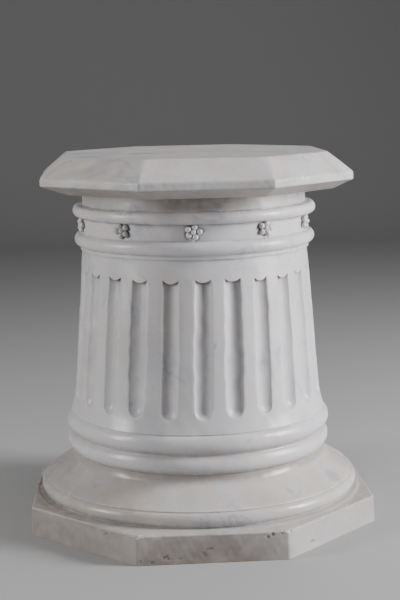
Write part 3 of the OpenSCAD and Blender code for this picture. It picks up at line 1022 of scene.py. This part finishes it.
def marble(name, pale, warm, cool, roughness, grey=(0.33, 0.33, 0.35), dirt_and_shade=(0.16, 0.105, 0.06)):
    """Semi-polished white marble: three close tones in soft clouds, grey veins, fine sugary
    grain, and the grime and vein amounts that the mesh carries, which hold painted shade as well."""
    material = bpy.data.materials.new(name)
    material.use_nodes = True
    tree = material.node_tree
    shader = tree.nodes["Principled BSDF"]
    coords = add_node(tree, "ShaderNodeTexCoord").outputs["Object"]
    clouds = remap(tree, noise_node(tree, coords, 5.5, 4, 0.6), 0.36, 0.66)
    patches = remap(tree, noise_node(tree, coords, 13, 3, 0.3), 0.42, 0.68)
    grain = noise_node(tree, coords, 420, 3)
    colour = mix_colour(tree, clouds, pale, warm)
    colour = mix_colour(tree, calculate(tree, "MULTIPLY", patches, 0.75), colour, cool)
    # veins: thin ridges of a warped noise, broken up by the clouds
    ridge = noise_node(tree, coords, 3.4, 6, 1.6, 0.6)
    distance = calculate(tree, "ABSOLUTE", calculate(tree, "SUBTRACT", ridge, 0.5, clamp=False), 0.0)
    thin = remap(tree, distance, 0.004, 0.022, 1.0, 0.0)
    thin = calculate(tree, "MULTIPLY", thin, calculate(tree, "MULTIPLY", patches, 0.42))
    # the vein amounts from the mesh, painted shade among them, are greyed like the veins
    vein_and_shade_in = add_node(tree, "ShaderNodeAttribute", attribute_name="vein_and_shade").outputs["Fac"]
    veins_and_shade = calculate(tree, "MAXIMUM", thin, calculate(tree, "MULTIPLY", vein_and_shade_in, 0.55))
    colour = mix_colour(tree, veins_and_shade, colour, grey)
    speckle = remap(tree, grain, 0.35, 0.65, 0.0, 0.07)
    colour = mix_colour(tree, speckle, colour, (0.45, 0.44, 0.44))
    # the grime amounts, painted shade as well as dirt, take the dark brown colour
    grime_and_shade_in = add_node(tree, "ShaderNodeAttribute", attribute_name="grime_and_shade").outputs["Fac"]
    smudge = remap(tree, noise_node(tree, coords, 60, 4), 0.25, 0.6, 0.65, 1.0)
    grime_and_shade = calculate(tree, "MULTIPLY", grime_and_shade_in, smudge)
    colour = mix_colour(tree, grime_and_shade, colour, dirt_and_shade)
    tree.links.new(colour, shader.inputs["Base Color"])
    rough = remap(tree, noise_node(tree, coords, 24, 4), 0.3, 0.7, roughness - 0.06, roughness + 0.09)
    rough = calculate(tree, "MAXIMUM", rough, calculate(tree, "MULTIPLY", grime_and_shade, 0.8))
    tree.links.new(rough, shader.inputs["Roughness"])
    bump = add_node(tree, "ShaderNodeBump")
    bump.inputs["Strength"].default_value = 0.12
    bump.inputs["Distance"].default_value = 0.4 * MM
    tree.links.new(noise_node(tree, coords, 210, 5), bump.inputs["Height"])
    tree.links.new(bump.outputs["Normal"], shader.inputs["Normal"])
    shader.inputs["Subsurface Weight"].default_value = 0.12
    shader.inputs["Subsurface Radius"].default_value = (1.0, 0.8, 0.65)
    shader.inputs["Subsurface Scale"].default_value = 4 * MM
    shader.inputs["IOR"].default_value = 1.49
    return material


# ---------------------------------------------------------------- stage

def build_floor():
    """A pale floor that sweeps up into a backdrop well behind the base."""
    material = bpy.data.materials.new("pale_floor")
    material.use_nodes = True
    shader = material.node_tree.nodes["Principled BSDF"]
    shader.inputs["Base Color"].default_value = (0.38, 0.38, 0.38, 1)
    shader.inputs["Roughness"].default_value = 0.9
    front, back, bend, wide = -8.0, 4.0, 2.5, 9.0
    sweep = [(front, 0)] + [(back + bend * math.sin(a), bend - bend * math.cos(a))
                            for a in np.radians(np.linspace(0, 90, 24))] + [(back + bend, 7.0)]
    verts = [(side, y, z) for y, z in sweep for side in (-wide, wide)]
    faces = [(2 * i, 2 * i + 1, 2 * i + 3, 2 * i + 2) for i in range(len(sweep) - 1)]
    mesh = bpy.data.meshes.new("floor")
    mesh.from_pydata(verts, [], faces)
    mesh.polygons.foreach_set("use_smooth", [True] * len(mesh.polygons))
    mesh.materials.append(material)
    floor = bpy.data.objects.new("floor", mesh)
    bpy.context.collection.objects.link(floor)


def area_light(name, place, aim, size, power, colour=(1, 1, 1)):
    data = bpy.data.lights.new(name, "AREA")
    data.shape = "RECTANGLE"
    data.size, data.size_y = size
    data.energy = power
    data.color = colour
    lamp = bpy.data.objects.new(name, data)
    lamp.location = place
    lamp.rotation_euler = (Vector(aim) - Vector(place)).to_track_quat("-Z", "Y").to_euler()
    bpy.context.collection.objects.link(lamp)


def build_lights():
    middle = (0, 0, 0.4)
    area_light("right_softbox", (2.64, -0.78, 1.3), middle, size=(0.8, 1.6), power=150,
               colour=(1.0, 0.985, 1.0))
    area_light("left_softbox", (-2.65, -0.73, 1.3), middle, size=(0.7, 1.6), power=49,
               colour=(1.0, 0.98, 0.96))
    area_light("overhead", (0.1, -0.1, 3.2), middle, size=(2.0, 2.0), power=28)
    world = bpy.data.worlds.new("studio")
    world.use_nodes = True
    background = world.node_tree.nodes["Background"]
    background.inputs["Color"].default_value = (0.93, 0.94, 1.0, 1)
    background.inputs["Strength"].default_value = 0.07
    bpy.context.scene.world = world


def build_camera():
    """The camera stands a little left of the front, at table height, and looks slightly down."""
    distance, height = 2.42, 0.7745
    azimuth, heading_off, pitch, roll = -4.05, 0.198, 9.166, -1.074
    place = heading(np.array(azimuth)) * distance + np.array([0, 0, height])
    yaw, tip, lean = (math.radians(v) for v in (heading_off - azimuth, pitch, roll))
    look = Vector((math.sin(yaw) * math.cos(tip), math.cos(yaw) * math.cos(tip), -math.sin(tip)))
    right = Vector((math.cos(yaw), -math.sin(yaw), 0))
    up = right.cross(look)
    side = right * math.cos(lean) + up * math.sin(lean)
    top = up * math.cos(lean) - right * math.sin(lean)
    data = bpy.data.cameras.new("camera")
    data.lens = 82.0
    data.sensor_width = 36
    camera = bpy.data.objects.new("camera", data)
    turn = Matrix((side, top, -look)).transposed().to_4x4()
    camera.matrix_world = Matrix.Translation(Vector(place)) @ turn
    bpy.context.collection.objects.link(camera)
    bpy.context.scene.camera = camera


plinth_marble = marble("plinth_marble", pale=(0.54, 0.52, 0.50), warm=(0.46, 0.43, 0.40),
                       cool=(0.48, 0.48, 0.49), roughness=0.42)
moulding_marble = marble("moulding_marble", pale=(0.67, 0.655, 0.645), warm=(0.62, 0.57, 0.52),
                         cool=(0.60, 0.61, 0.645), roughness=0.26)
shaft_marble = marble("shaft_marble", pale=(0.73, 0.725, 0.75), warm=(0.70, 0.675, 0.67),
                      cool=(0.66, 0.67, 0.72), roughness=0.29)
slab_marble = marble("slab_marble", pale=(0.63, 0.615, 0.605), warm=(0.575, 0.53, 0.48),
                     cool=(0.58, 0.59, 0.63), roughness=0.38)

build_plinth(plinth_marble)
build_base_moulding(moulding_marble)
build_shaft(shaft_marble)
build_necking(shaft_marble)
build_rosettes(shaft_marble)
build_top_slab(slab_marble)
build_floor()
build_lights()
build_camera()
